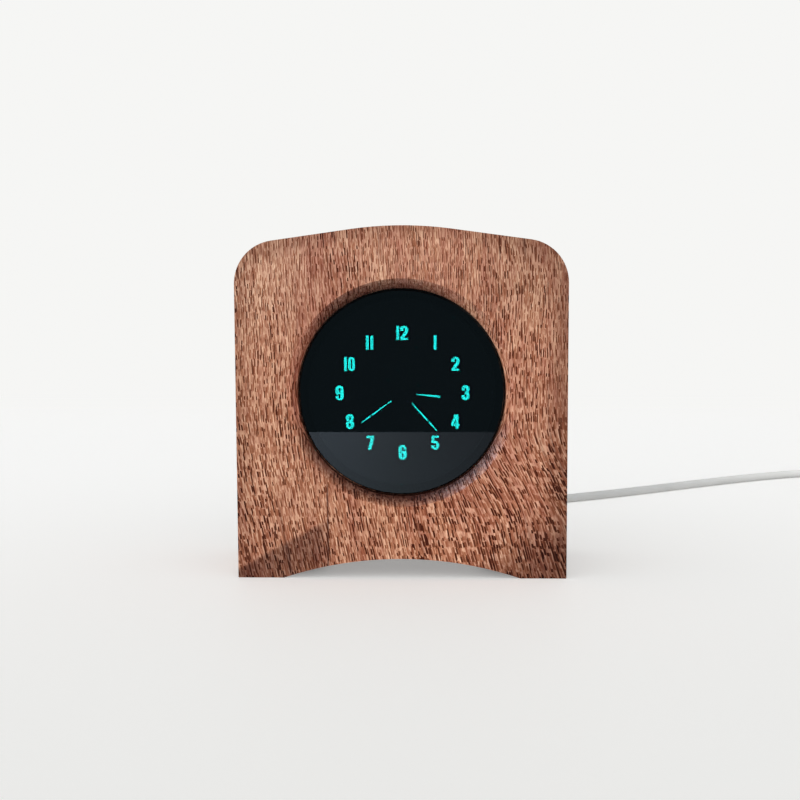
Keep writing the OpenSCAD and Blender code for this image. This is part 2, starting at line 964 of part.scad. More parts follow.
module display_board() {
  color(board_colour)
    at([0, 0], dial_z)
      slab(board_y, board_back_y)
        difference() {
          round_rect(display_board_w, display_board_h, cavity_r);
          for (x = [-1, 1], z = [-1, 1])
            translate([x * post_x, z * post_z])
              circle(screw_r + screw_gap);
          translate(tip_at)
            circle(tip_r + tip_hole_gap);
        }
}

module driver_chips() {
  color(black_colour)
    for (x = [-1, 1])
      at([x * driver_w, 0], dial_z)
        block(driver_w, driver_h, board_back_y, board_back_y + driver_t);
}

module board_spacers() {
  color(brass_colour)
    at_corners([post_x, post_z], dial_z)
      slab(cavity_y, board_y)
        difference() {
          circle(post_r);
          circle(screw_r + screw_gap);
        }
}

module display_board_screws() {
  color(metal_colour)
    at_corners([post_x, post_z], dial_z)
      pan_screw(board_back_y, board_back_y - cavity_y + pilot_l, -1);
}

// Plug and socket between the two boards

module header_row() {
  for (i = [0 : header_pins - 1])
    translate([(i - (header_pins - 1) / 2) * header_cell_w, 0])
      children();
}

header_y = control_y - header_t;
pin_tip_y = board_back_y + socket_floor;

module board_socket() {
  color(black_colour)
    at([0, header_rise], bore_z)
      difference() {
        block(header_pins * header_cell_w, header_w, board_back_y, header_y);
        slab(pin_tip_y - socket_pin_room, control_y)
          header_row()
            square(pin_w + 2 * screw_gap, center = true);
      }
}

module board_header() {
  color(brass_colour)
    at([0, header_rise], bore_z) {
      block(header_pins * header_cell_w, header_w, header_y, control_y);
      slab(pin_tip_y, header_y + hair)
        header_row()
          square(pin_w, center = true);
    }
}

// Control board

module control_board() {
  color(board_colour)
    at([0, 0], bore_z)
      slab(control_y, control_back_y)
        difference() {
          square([control_w, control_h], center = true);
          for (x = [-1, 1], z = [-1, 1])
            translate([x * standoff.x, z * standoff.y])
              circle(screw_r + screw_gap);
        }
}

module control_board_standoffs() {
  color(brass_colour)
    at_corners(standoff, bore_z)
      slab(control_back_y, cover_y)
        difference() {
          circle(standoff_r, $fn = 6);
          circle(screw_r + hair);
        }
}

module standoff_screws() {
  color(metal_colour)
    at_corners(standoff, bore_z)
      difference() {
        countersunk(cover_back_y - hair, cover_t + standoff_l / 2 - cut / 2);
        cross_recess(cover_back_y - hair);
      }
}

module control_board_screws() {
  color(metal_colour)
    at_corners(standoff, bore_z)
      pan_screw(control_y, board_t + standoff_l / 2 - cut / 2, 1);
}

module on_front(p, w, h, t) {
  at(p, bore_z)
    block(w, h, control_y - t, control_y);
}

module microcontroller() {
  color(black_colour)
    on_front(chip_at, chip_w, chip_w, chip_t);
}

module timekeeping_chip() {
  color(black_colour)
    on_front(timekeeper_at, timekeeper_w, timekeeper_w, timekeeper_t);
}

module quartz_crystal() {
  color(metal_colour)
    on_front(crystal_at, crystal_w, crystal_h, crystal_t);
}

module cell_holder() {
  holder_r = cell_d / 2 + cell_clear + holder_wall;
  color(white_colour)
    at(cell_at, bore_z)
      difference() {
        rod(holder_r, control_y - holder_base - cell_t, control_y);
        rod(cell_d / 2 + cell_clear, control_y - holder_base - cell_t - cut, control_y - holder_base);
        translate([0, 0, holder_r])
          block(holder_slot_w, 2 * holder_r, control_y - holder_base - cell_t - cut, control_y - holder_base);
      }
}

module coin_cell() {
  color(metal_colour)
    at(cell_at, bore_z)
      rod(cell_d / 2, control_y - holder_base - cell_t, control_y - holder_base);
}

module boost_inductor() {
  color(black_colour)
    at(inductor_at, bore_z)
      rod(inductor_r, control_y - inductor_t, control_y);
}

module filter_capacitors() {
  color(metal_colour)
    for (p = capacitor_at)
      at(p, bore_z)
        rod(capacitor_r, control_back_y, control_back_y + capacitor_l);
}

module buzzer() {
  color(black_colour)
    at(buzzer_at, bore_z)
      slab(control_back_y, control_back_y + buzzer_l)
        difference() {
          circle(buzzer_r);
          circle(sound_hole_r);
        }
}

// Buttons and their switches

switch_y = control_back_y + switch_h;
cap_y = cover_y - button_gap - flange_t;

module switch_housings() {
  color(black_colour)
    for (i = [-1 : 1])
      at([i * button_pitch, button_row], bore_z)
        difference() {
          block(switch_w, switch_w, control_back_y, switch_y);
          rod(plunger_r + plunger_gap, switch_y - switch_bore_l, switch_y + cut);
        }
}

module plunger(i) {
  color(white_colour)
    at([i * button_pitch, button_row], bore_z)
      rod(plunger_r, switch_y - plunger_in, cap_y);
}

module button(i) {
  dish = 0.3;
  color(black_colour)
    at([i * button_pitch, button_row], bore_z)
      difference() {
        union() {
          rod(flange_r, cap_y, cap_y + flange_t);
          rod(button_r, cap_y, cover_back_y + button_proud);
        }
        rod(button_r - 2 * dish, cover_back_y + button_proud - dish, cover_back_y + button_proud + cut);
      }
}

module set_plunger() plunger(-1);
module up_plunger() plunger(0);
module down_plunger() plunger(1);
module set_button() button(-1);
module up_button() button(0);
module down_button() button(1);

// Power socket and plug

socket_mouth_y = cover_back_y - socket_sink;
plug_y = cover_back_y - plug_sink;
plug_back_y = plug_y + plug_l;

module usb_socket_shell() {
  color(metal_colour)
    at([0, 0], usb_z)
      slab(control_back_y, socket_mouth_y)
        difference() {
          racetrack(socket_w, socket_h);
          racetrack(socket_w - 2 * socket_wall, socket_h - 2 * socket_wall);
        }
}

module usb_socket_tongue() {
  color(black_colour)
    at([0, 0], usb_z) {
      slab(control_back_y, control_back_y + tongue_base)
        racetrack(socket_w - 2 * socket_wall - 2 * hair, socket_h - 2 * socket_wall - 2 * hair);
      block(tongue_w, tongue_t, control_back_y, socket_mouth_y - tongue_back);
    }
}

module usb_plug_shell() {
  color(metal_colour)
    at([0, 0], usb_z)
      slab(plug_y - plug_tip_l, plug_y)
        difference() {
          racetrack(plug_tip_w, plug_tip_h);
          racetrack(plug_tip_w - 2 * socket_wall, plug_tip_h - 2 * socket_wall);
        }
}

module usb_plug_body() {
  color(white_colour)
    at([0, 0], usb_z)
      slab(plug_y, plug_back_y)
        round_rect(plug_w, plug_h, plug_round);
}

module plug_strain_relief() {
  color(white_colour)
    translate([0, plug_back_y + relief_l, usb_z])
      rotate([90, 0, 0])
        cylinder(r1 = relief_thin_r, r2 = relief_thick_r, h = relief_l);
}

// Cord, coil and the plug at the supply end

module power_cord() {
  color(white_colour)
    tube(cord_route, cord_d / 2, cord_sides);
}

module cord_coil() {
  color(white_colour)
    tube(coil_points, cord_d / 2, coil_sides);
}

// Strap round all the loops, on the side away from where the cord enters
module cord_tie() {
  room = 0.1;
  inner_r = coil_r(coil_loops / 2) - cord_d / 2;
  sag = inner_r - sqrt(inner_r ^ 2 - (tie_w / 2) ^ 2);
  near = inner_r - sag - room;
  far = coil_r(0.5) + cord_d / 2 + room;
  top = coil_high_z + cord_d / 2 + room;
  color(black_colour)
    translate([coil_at.x, coil_at.y + tie_w / 2, 0])
      rotate([90, 0, 0])
        linear_extrude(tie_w)
          difference() {
            translate([-far - tie_t, 0])
              square([far - near + 2 * tie_t, top + tie_t]);
            translate([-far, tie_t])
              square([far - near, top - tie_t]);
          }
}

module supply_slab(y0, y1) {
  translate([tail_x, 0, tail_end_z])
    slab(y0, y1)
      children();
}

supply_body_y = supply_relief_y - supply_relief_l;
supply_tip_y = supply_body_y - supply_l;

module supply_plug_relief() {
  color(white_colour)
    translate([tail_x, supply_relief_y, tail_end_z])
      rotate([90, 0, 0])
        cylinder(r1 = relief_thin_r, r2 = relief_thick_r, h = supply_relief_l);
}

module supply_plug_body() {
  color(white_colour)
    supply_slab(supply_tip_y, supply_body_y)
      round_rect(supply_w, supply_t, supply_round);
}

module supply_plug_shell() {
  color(metal_colour)
    supply_slab(supply_tip_y - supply_tip_l, supply_tip_y)
      difference() {
        square([supply_tip_w, supply_tip_t], center = true);
        square([supply_tip_w - 2 * supply_tip_wall, supply_tip_t - 2 * supply_tip_wall], center = true);
      }
}

module supply_plug_insulator() {
  inside = supply_tip_t - 2 * supply_tip_wall;
  color(white_colour)
    supply_slab(supply_tip_y - supply_tip_l + cut / 2, supply_tip_y)
      translate([0, (supply_tongue_t - inside) / 2])
        square([supply_tip_w - 2 * supply_tip_wall, supply_tongue_t], center = true);
}

wood_case();
front_lens();
lens_adhesive_ring();
back_cover();
cover_screws();
cover_inserts();
display_gasket();
display_face_glass();
display_spacer_frame();
display_anode_plate();
hour_numerals();
hour_hand();
minute_hand();
second_hand();
unlit_hand_segments();
grid_frame();
filament_wires();
filament_supports();
getter_ring();
exhaust_tip();
display_pins();
display_foam_pads();
display_board();
driver_chips();
board_spacers();
display_board_screws();
board_socket();
board_header();
control_board();
control_board_standoffs();
standoff_screws();
control_board_screws();
microcontroller();
timekeeping_chip();
quartz_crystal();
cell_holder();
coin_cell();
boost_inductor();
filter_capacitors();
buzzer();
switch_housings();
set_plunger();
up_plunger();
down_plunger();
set_button();
up_button();
down_button();
usb_socket_shell();
usb_socket_tongue();
usb_plug_shell();
usb_plug_body();
plug_strain_relief();
power_cord();
cord_coil();
cord_tie();
supply_plug_relief();
supply_plug_body();
supply_plug_shell();
supply_plug_insulator();
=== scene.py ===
"""Wooden desk clock with a round smoked lens over a glowing dial: camera, cord, materials, light and floor.

Metres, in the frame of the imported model: +Z up, the dial faces -Y, z = 0 is the table.
"""

import json
import math

import bpy
from mathutils import Matrix, Vector


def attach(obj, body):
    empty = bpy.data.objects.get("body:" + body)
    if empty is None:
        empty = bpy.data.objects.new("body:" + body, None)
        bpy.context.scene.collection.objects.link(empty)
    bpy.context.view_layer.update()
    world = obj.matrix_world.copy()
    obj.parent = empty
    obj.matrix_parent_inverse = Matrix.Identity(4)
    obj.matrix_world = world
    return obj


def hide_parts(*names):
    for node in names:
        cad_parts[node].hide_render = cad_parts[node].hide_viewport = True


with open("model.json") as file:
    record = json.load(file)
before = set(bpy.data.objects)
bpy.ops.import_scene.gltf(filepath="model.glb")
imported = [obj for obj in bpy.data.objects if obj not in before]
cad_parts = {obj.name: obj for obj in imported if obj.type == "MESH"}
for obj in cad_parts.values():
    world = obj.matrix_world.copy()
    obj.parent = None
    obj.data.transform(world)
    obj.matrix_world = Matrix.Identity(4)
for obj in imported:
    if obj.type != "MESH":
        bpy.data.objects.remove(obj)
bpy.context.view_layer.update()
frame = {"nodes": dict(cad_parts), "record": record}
nodes = frame["nodes"]
MM = 0.001

# Camera

IMAGE_SIDE = 800
SENSOR = 36.0
FOCAL_PIXELS = 1163.8
CENTRE_PIXEL = (401.14, 398.31)
CAMERA_AZIMUTH = math.radians(1.75)
CAMERA_ELEVATION = math.radians(5.0)
CAMERA_ROLL = math.radians(-0.21)
CAMERA_DISTANCE = 350 * MM
CAMERA_TARGET = Vector((0, -21, 55)) * MM
CLIP_START = 0.01


def make_camera():
    data = bpy.data.cameras.new("camera")
    data.sensor_fit = "HORIZONTAL"
    data.sensor_width = SENSOR
    data.lens = FOCAL_PIXELS * SENSOR / IMAGE_SIDE
    data.shift_x = (IMAGE_SIDE / 2 - CENTRE_PIXEL[0]) / IMAGE_SIDE
    data.shift_y = (CENTRE_PIXEL[1] - IMAGE_SIDE / 2) / IMAGE_SIDE
    data.clip_start = CLIP_START
    camera = bpy.data.objects.new("camera", data)
    bpy.context.scene.collection.objects.link(camera)
    level = math.cos(CAMERA_ELEVATION)
    back = Vector((
        math.sin(CAMERA_AZIMUTH) * level,
        -math.cos(CAMERA_AZIMUTH) * level,
        math.sin(CAMERA_ELEVATION),
    ))
    turn = back.to_track_quat("Z", "Y").to_matrix().to_4x4() @ Matrix.Rotation(CAMERA_ROLL, 4, "Z")
    camera.matrix_world = Matrix.Translation(CAMERA_TARGET + CAMERA_DISTANCE * back) @ turn
    bpy.context.scene.camera = camera


make_camera()

# Power cord: one curve through the free route, the coil and the tail to the supply plug

CORD_D = 3.5 * MM
CORD_STEPS = 3
CORD_SIDES = 16
# The route, the coil and the tail are in millimetres
CORD_ROUTE = [
    (0, 51, 30), (0, 56, 30), (0.3, 64, 28.8), (2.4, 71.7, 25.3), (6.4, 78.6, 20.2), (12.2, 84.1, 14.4),
    (19, 88, 8.8), (26.4, 91.4, 4.5), (33.6, 94.8, 2.2), (41, 98.2, 1.75), (50, 102.6, 1.75),
    (59, 107.2, 1.75), (68, 112, 1.75), (77, 117.1, 1.75), (86, 122.5, 1.75), (95, 128.1, 1.75),
    (104, 133.9, 1.75), (113, 139.8, 1.75), (122, 145.7, 1.75), (131, 151.5, 1.75), (140, 157.2, 1.75),
    (149, 162.7, 1.75), (158, 167.9, 1.75), (167, 172.7, 1.75), (176, 176.9, 1.75), (185, 180.2, 1.75),
    (194, 182.2, 1.75), (203, 182.5, 1.75), (211.5, 181, 1.8), (219.3, 176.9, 1.9), (225.9, 170.3, 2),
    (230.1, 162.1, 2.1), (231.5, 153, 2.2), (231.5, 145.5, 2.3), (231.5, 138.5, 2.3),
]
COIL_AT = (207, 135)
COIL_OUT_R = 24.5
COIL_LOOPS = 5
COIL_RINGS = 24
COIL_LOW_Z = 2.3
LOOP_STEP = 4.0
LIFT_TURNS = 0.5
TAIL_STRAIGHT = 14
TAIL_FALL = 24
TAIL_STEPS = 6
TAIL_END_Z = 4
TAIL_END = 3.5


def smooth_step(t):
    u = max(0.0, min(1.0, t))
    return u * u * (3 - 2 * u)


def coil_point(turn):
    """The coil winds inwards on the table, lifts to a second layer, and winds out again."""
    middle = COIL_LOOPS / 2
    r = COIL_OUT_R - LOOP_STEP * (middle - abs(turn - middle))
    z = COIL_LOW_Z + LOOP_STEP * smooth_step((turn - middle + LIFT_TURNS / 2) / LIFT_TURNS)
    angle = -2 * math.pi * turn
    return (COIL_AT[0] + r * math.cos(angle), COIL_AT[1] + r * math.sin(angle), z)


def tail_points():
    x = COIL_AT[0] + COIL_OUT_R
    high = COIL_LOW_Z + LOOP_STEP
    points = [(x, COIL_AT[1] - TAIL_STRAIGHT, high)]
    for i in range(1, TAIL_STEPS + 1):
        fall = smooth_step(i / TAIL_STEPS)
        run = TAIL_STRAIGHT + TAIL_FALL * i / TAIL_STEPS
        points.append((x, COIL_AT[1] - run, high + (TAIL_END_Z - high) * fall))
    points.append((x, COIL_AT[1] - TAIL_STRAIGHT - TAIL_FALL - TAIL_END, TAIL_END_Z))
    return points


def cord_points():
    coil = [coil_point(i / COIL_RINGS) for i in range(COIL_RINGS * COIL_LOOPS + 1)]
    return [Vector(p) * MM for p in CORD_ROUTE + coil + tail_points()]


def curved(points, steps):
    """Points on a smooth curve through the given points, steps to each stretch."""
    out = []
    last = len(points) - 1
    for i in range(last):
        a, b, c, d = (points[max(0, min(last, i + k))] for k in (-1, 0, 1, 2))
        for s in range(steps):
            t = s / steps
            out.append(0.5 * (
                2 * b + (c - a) * t + (2 * a - 5 * b + 4 * c - d) * t * t + (3 * b - a - 3 * c + d) * t ** 3
            ))
    out.append(points[last])
    return out


def new_piece(name, vertices, faces, smooth):
    mesh = bpy.data.meshes.new(name)
    mesh.from_pydata(vertices, [], faces)
    mesh.polygons.foreach_set("use_smooth", [smooth] * len(faces))
    piece = bpy.data.objects.new(name, mesh)
    bpy.context.scene.collection.objects.link(piece)
    return piece


def make_tube(name, points, radius, sides):
    """A round tube along the points, with its ends closed."""
    vertices = []
    faces = []
    last = len(points) - 1
    side = Vector((1, 0, 0))
    for i, point in enumerate(points):
        along = (points[min(last, i + 1)] - points[max(0, i - 1)]).normalized()
        side = (side - along * side.dot(along)).normalized()
        other = along.cross(side)
        for k in range(sides):
            angle = 2 * math.pi * k / sides
            vertices.append(point + radius * (math.cos(angle) * side + math.sin(angle) * other))
    for i in range(last):
        for k in range(sides):
            a, b = i * sides + k, i * sides + (k + 1) % sides
            faces.append((a, b, b + sides, a + sides))
    faces.append(tuple(reversed(range(sides))))
    faces.append(tuple(range(last * sides, (last + 1) * sides)))
    return new_piece(name, vertices, faces, smooth=True)


cord_path = curved(cord_points(), CORD_STEPS)
cord = make_tube("power_cord_jacket", cord_path, CORD_D / 2, CORD_SIDES)
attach(cord, "clock")
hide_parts("power_cord", "cord_coil")

# Shader helpers


class Nodes:
    """Short calls for the nodes of one tree."""

    def __init__(self, tree):
        self.tree = tree

    def feed(self, socket, value):
        """Links a socket to another one, or sets its value."""
        if isinstance(value, bpy.types.NodeSocket):
            self.tree.links.new(value, socket)
        elif socket.type == "RGBA" and len(value) == 3:
            socket.default_value = (*value, 1)
        else:
            socket.default_value = value

    def add(self, kind, inputs, **settings):
        node = self.tree.nodes.new("ShaderNode" + kind)
        for key, value in settings.items():
            setattr(node, key, value)
        for key, value in inputs.items():
            self.feed(node.inputs[key], value)
        return node

    def split(self, vector):
        return self.add("SeparateXYZ", {0: vector}).outputs[:3]

    def join(self, x, y, z):
        return self.add("CombineXYZ", {0: x, 1: y, 2: z}).outputs[0]

    def vector_math(self, operation, *vectors):
        return self.add("VectorMath", dict(enumerate(vectors)), operation=operation).outputs

    def length(self, vector):
        return self.vector_math("LENGTH", vector)["Value"]

    def toward(self, vector, direction):
        """How far the vector goes in the direction."""
        return self.vector_math("DOT_PRODUCT", vector, direction)["Value"]

    def math(self, operation, a, b=0.0):
        return self.add("Math", {0: a, 1: b}, operation=operation).outputs[0]

    def chain(self, operation, first, *others):
        for other in others:
            first = self.math(operation, first, other)
        return first

    def times(self, *values):
        return self.chain("MULTIPLY", *values)

    def plus(self, *values):
        return self.chain("ADD", *values)

    def most(self, *values):
        return self.chain("MAXIMUM", *values)

    def minus(self, a, b):
        return self.math("SUBTRACT", a, b)

    def absolute(self, value):
        return self.math("ABSOLUTE", value)

    def noise(self, vector, scale, detail=2.0, roughness=0.5):
        """Noise whose scale is one number or three, in features to the metre."""
        if isinstance(scale, tuple):
            vector = self.vector_math("MULTIPLY", vector, scale)[0]
            scale = 1.0
        inputs = {"Vector": vector, "Scale": scale, "Detail": detail, "Roughness": roughness}
        return self.add("TexNoise", inputs).outputs["Fac"]

    def remap(self, value, low, high, to_low=0.0, to_high=1.0, curve="SMOOTHSTEP"):
        inputs = {"Value": value, "From Min": low, "From Max": high, "To Min": to_low, "To Max": to_high}
        return self.add("MapRange", inputs, interpolation_type=curve).outputs[0]

    def ramp(self, value, *stops):
        node = self.add("ValToRGB", {0: value})
        elements = node.color_ramp.elements
        while len(elements) < len(stops):
            elements.new(0.5)
        for element, (position, colour) in zip(elements, stops):
            element.position = position
            element.color = (*colour, 1)
        return node.outputs["Color"]

    def mix(self, factor, a, b, blend="MIX"):
        return self.add("Mix", {0: factor, 6: a, 7: b}, data_type="RGBA", blend_type=blend).outputs[2]

    def toned(self, factor, colour, tint):
        """The colour, multiplied by the tint as far as the factor says."""
        return self.mix(factor, colour, self.mix(1.0, colour, tint, "MULTIPLY"))

    def rays(self):
        """Two switches: one for the camera's own rays, one for rays in gloss or glass."""
        path = self.add("LightPath", {}).outputs
        return path["Is Camera Ray"], self.most(path["Is Glossy Ray"], path["Is Transmission Ray"])

    def glow(self, kind, colour, strength=1.0):
        return self.add(kind, {"Color": colour, "Strength": strength}).outputs[0]

    def both(self, a, b):
        return self.add("AddShader", {0: a, 1: b}).outputs[0]

    def switch(self, factor, a, b):
        return self.add("MixShader", {0: factor, 1: a, 2: b}).outputs[0]


class Shader(Nodes):
    """A Principled material. The names of its sockets have underscores for their spaces."""

    def __init__(self, name, **values):
        self.material = bpy.data.materials.new(name)
        self.material.use_nodes = True
        super().__init__(self.material.node_tree)
        self.bsdf = self.tree.nodes["Principled BSDF"]
        self.set(**values)

    def set(self, **values):
        for key, value in values.items():
            self.feed(self.bsdf.inputs[key.replace("_", " ")], value)

    def place(self):
        """The point on the surface, in metres, which moves with the piece."""
        return self.add("TexCoord", {}).outputs["Object"]

    def bump(self, height, strength, distance):
        inputs = {"Height": height, "Strength": strength, "Distance": distance}
        self.set(Normal=self.add("Bump", inputs).outputs[0])


def tinted(colour, factor):
    return tuple(channel * factor for channel in colour)


# Wood: the sizes of the case that its tones follow, in metres

CASE_H = 0.1066
CROWN_R = 0.110
BORE_Z = 0.0564
LIP_R = 0.0355
LEDGE_R = 0.0312

# How the grain runs. A range gives two values, then what they become where that isn't 0 and 1.

FIBRES_ALONG = (-0.26, 0.0, 0.966)
LEAN = 0.04
LEAN_TOP = 0.055
FLARE = 2.0
SWIRL_Z = (0.014, 0.047, 0.0, 0.009)
SWIRL_X = (-0.008, 0.03)
CORNER_SLOPE = 0.8
END_STRETCH = 3.0
# The least cosine at which a surface counts as a side or an end of the case
FACING = 0.7
# Features to the metre across and along the grain, and how far they move it
SWAY = (30.0, 14.0, 0.006)
WIGGLE = (420.0, 240.0, 0.0003)
NOISE_MIDDLE = 0.5


def wander(s, point, per_across, per_along, by):
    return s.times(s.minus(s.noise(point, (per_across, per_across, per_along)), NOISE_MIDDLE), by)


class WoodPlace:
    """Where a point of the wood lies, and how the grain runs through it.

    The grain runs up the case, leans a little towards its foot, and swirls low down at the right.
    """

    def __init__(self, s):
        coordinates = s.add("TexCoord", {}).outputs
        point = coordinates["Object"]
        x, y, z = s.split(point)
        facing = [s.absolute(part) for part in s.split(coordinates["Normal"])]
        on_side = s.math("GREATER_THAN", facing[0], FACING)
        on_end = s.math("GREATER_THAN", facing[2], FACING)
        drop = s.most(s.minus(LEAN_TOP, z), 0.0)
        lean = s.minus(s.times(z, LEAN), s.times(s.math("POWER", drop, 2.0), FLARE))
        swirl = s.times(s.remap(z, *SWIRL_Z), s.remap(x, *SWIRL_X))
        sway = wander(s, point, *SWAY)
        level = s.plus(x, s.times(on_side, s.minus(y, x)))
        self.across = s.plus(level, s.plus(lean, swirl, sway), wander(s, point, *WIGGLE))
        self.along = s.plus(z, s.times(on_end, s.minus(s.times(y, END_STRETCH), z)))
        self.grain = s.join(self.across, y, z)
        self.x = x
        self.z = z
        self.sway = sway
        self.to_corner = s.minus(s.times(x, CORNER_SLOPE), z)
        self.turned = s.minus(1.0, facing[1])
        self.end_on = s.absolute(s.toward(coordinates["Normal"], FIBRES_ALONG))
        self.up_from_bore = s.minus(z, BORE_Z)
        self.from_bore = s.length(s.join(x, 0.0, self.up_from_bore))
        self.in_recess = s.math("LESS_THAN", self.from_bore, LIP_R)


# Wood between the pores. Layers: features to the metre across and along, detail, roughness, range.

TAN_GRAIN = (0.73, 0.430, 0.272)
RED_GRAIN = (0.47, 0.195, 0.122)
PATCHES = (70.0, 13.0, 3.0, 0.5, (0.34, 0.66))
FLECKS = (700.0, 160.0, 2.0, 0.6, (0.32, 0.68))
FIBRES = (2300.0, 400.0, 2.0, 0.6, (0.3, 0.7))
PATCH_SHARE = 0.6
FLECK_SHARE = 0.4
DARK_FIBRE = (0.70, 0.58, 0.52)
PALE_FIBRE = (1.19, 1.28, 1.36)


def layer(s, grain, per_across, per_along, detail, roughness, span):
    return s.remap(s.noise(grain, (per_across, per_across, per_along), detail, roughness), *span)


def plain_wood(s, at, fleck, fibre):
    """Tan and red patches drawn out along the grain, with fine fibres."""
    redness = s.plus(s.times(layer(s, at.grain, *PATCHES), PATCH_SHARE), s.times(fleck, FLECK_SHARE))
    colour = s.mix(redness, TAN_GRAIN, RED_GRAIN)
    return s.mix(1.0, colour, s.ramp(fibre, (0.0, DARK_FIBRE), (1.0, PALE_FIBRE)), "MULTIPLY")


# Pores: cells to the metre across and along the grain, then ranges in cells from the edge of a pore to its
# full depth, across and along it, and its least and most depth

PORE = (0.050, 0.008, 0.003)
HALF_DARK = (0.57, 0.39, 0.31)
SHORT_PORES = (1230.0, 420.0, (0.32, 0.17), (0.60, 0.38), (0.40, 1.0))
LONG_PORES = (1250.0, 210.0, (0.28, 0.13), (0.60, 0.35), (-0.2, 1.0))
LONG_PORE_SHIFT = 0.37
PORE_SCATTER = 0.85
PORE_LENGTHS = (0.45, 1.25)
RIDGE_WIDTH = 0.16
RIDGE_TINT = (1.24, 1.37, 1.46)
WIDTH_Z = (0.085, 0.015, 0.82, 1.25)
FLECK_WIDENS = 0.25
SWIRL_WIDENS = 0.35
SWIRL_CORNER = (-0.018, 0.004)
SWIRL_TINT = (1.10, 1.13, 1.15)
STREAKS = (1300.0, 190.0, 3.0, 0.62, (0.52, 0.62))
STREAK_DEPTH = 0.5
DEPTHS = (90.0, 28.0, 2.0, 0.5, (0.35, 0.62, 0.85, 1.0))
DEPTH_Z = (0.09, 0.03, 0.95, 1.0)


def pore_layer(s, across, along, width, pores):
    """Dark lines, one to a cell, and the pale ridges beside them."""
    per_across, per_along, half_width, half_length, depths = pores
    spot = s.join(s.times(across, per_across), s.times(along, per_along), 0.0)
    inputs = {"Vector": spot, "Scale": 1.0, "Randomness": PORE_SCATTER}
    cell = s.add("TexVoronoi", inputs, voronoi_dimensions="2D").outputs
    off = s.split(s.vector_math("SUBTRACT", spot, cell["Position"])[0])
    chance = s.split(cell["Color"])
    aside = s.math("DIVIDE", s.absolute(off[0]), width)
    length = s.remap(chance[1], 0.0, 1.0, *PORE_LENGTHS)
    reach = s.remap(s.math("DIVIDE", s.absolute(off[1]), length), *half_length)
    depth = s.times(reach, s.most(s.remap(chance[0], 0.0, 1.0, *depths), 0.0))
    line = s.times(depth, s.remap(aside, *half_width))
    ridge = s.times(depth, s.remap(aside, half_width[0] + RIDGE_WIDTH, half_width[0]))
    return line, s.minus(ridge, line)


def with_pores(s, at, colour, fleck):
    """Short dark pores, longer, fainter ones, and streaks of no set length.

    All are deeper in some patches and low down. The swirl has wider pores and paler wood between them.
    """
    busy = s.remap(at.to_corner, *SWIRL_CORNER)
    width = s.plus(s.remap(at.z, *WIDTH_Z), s.times(fleck, FLECK_WIDENS), s.times(busy, SWIRL_WIDENS))
    colour = s.toned(busy, colour, SWIRL_TINT)
    short, short_ridge = pore_layer(s, at.across, at.along, width, SHORT_PORES)
    long, long_ridge = pore_layer(s, s.plus(at.across, LONG_PORE_SHIFT), at.along, width, LONG_PORES)
    colour = s.toned(s.most(short_ridge, long_ridge), colour, RIDGE_TINT)
    streaks = s.times(layer(s, at.grain, *STREAKS), STREAK_DEPTH)
    deep = s.times(layer(s, at.grain, *DEPTHS), s.remap(at.z, *DEPTH_Z))
    pores = s.times(s.most(short, long, streaks), deep)
    # The first half of a pore's depth goes to half dark, and the second half to the pore's own colour
    colour = s.toned(s.times(pores, 2.0), colour, HALF_DARK)
    return s.mix(s.remap(pores, 0.5, 1.0), colour, PORE), pores


# Slow tones and veins

RED_Z = (0.092, 0.066)
RED_X = (0.0, 0.035, 1.0, 0.4)
RED_TINT = (0.98, 0.90, 0.86)
# Painted shade: the wood is darker towards the left of the case
LEFT_SHADE_X = (0.02, -0.04)
LEFT_SHADE_TINT = (0.86, 0.86, 0.87)
VEINS = (420.0, 11.0, 2.0, 0.5, (0.64, 0.72))
VEIN_DEPTH = 0.4
LOW_VEIN_X = -0.0225
LOW_VEIN_SWAY = 0.3
LOW_VEIN_WIDTH = (0.0004, 0.0001)
LOW_VEIN_Z = (0.031, 0.027, 0.0, 2.0)


def with_tones(s, at, colour):
    """Tan at the top and redder further down, above all at the left; painted shade darkens the left, so the
    wood is paler towards the right.
    """
    redder = s.times(s.remap(at.z, *RED_Z), s.remap(at.x, *RED_X))
    colour = s.toned(redder, colour, RED_TINT)
    # Painted shade: the wood darkens towards the left
    return s.toned(s.remap(at.x, *LEFT_SHADE_X), colour, LEFT_SHADE_TINT)


def with_veins(s, at, colour):
    """Long dark veins, one of them low down at the left."""
    from_line = s.absolute(s.minus(s.plus(at.x, s.times(at.sway, LOW_VEIN_SWAY)), LOW_VEIN_X))
    low_vein = s.times(s.remap(from_line, *LOW_VEIN_WIDTH), s.remap(at.z, *LOW_VEIN_Z))
    vein = s.most(layer(s, at.grain, *VEINS), low_vein)
    return s.mix(s.times(vein, VEIN_DEPTH), colour, PORE)


# Corners, outline, and end grain with painted shade

CORNER_TINT = (0.42, 0.36, 0.34)
RIGHT_X = (0.040, 0.050)
RIGHT_DEPTH = 0.45
HIGH_RIGHT_X = (0.012, 0.040, 0.0, 0.42)
HIGH_RIGHT_Z = (0.070, 0.090)
LOW_RIGHT = (0.006, 0.031)
SLANT_X = 0.048
SLANT_Z = 0.0035
SLANT = 0.55
LOW_LEFT_EDGE = (-0.0014, 0.0008)
LOW_LEFT_DEPTH = (0.022, 0.002, 0.5, 0.95)
LOW_LEFT_X = (-0.020, -0.026)
MARGIN_X = (0.042, 0.050)
MARGIN_TOP = 0.006
MARGIN_TINT = (0.76, 0.72, 0.70)
# End grain: the wood's own darker end grain, made darker still as painted shade on the recess's upper and
# lower lips
END_GRAIN_AND_SHADE_SPAN = (0.3, 0.9)
END_GRAIN_AND_SHADE_TINT = (0.28, 0.20, 0.18)


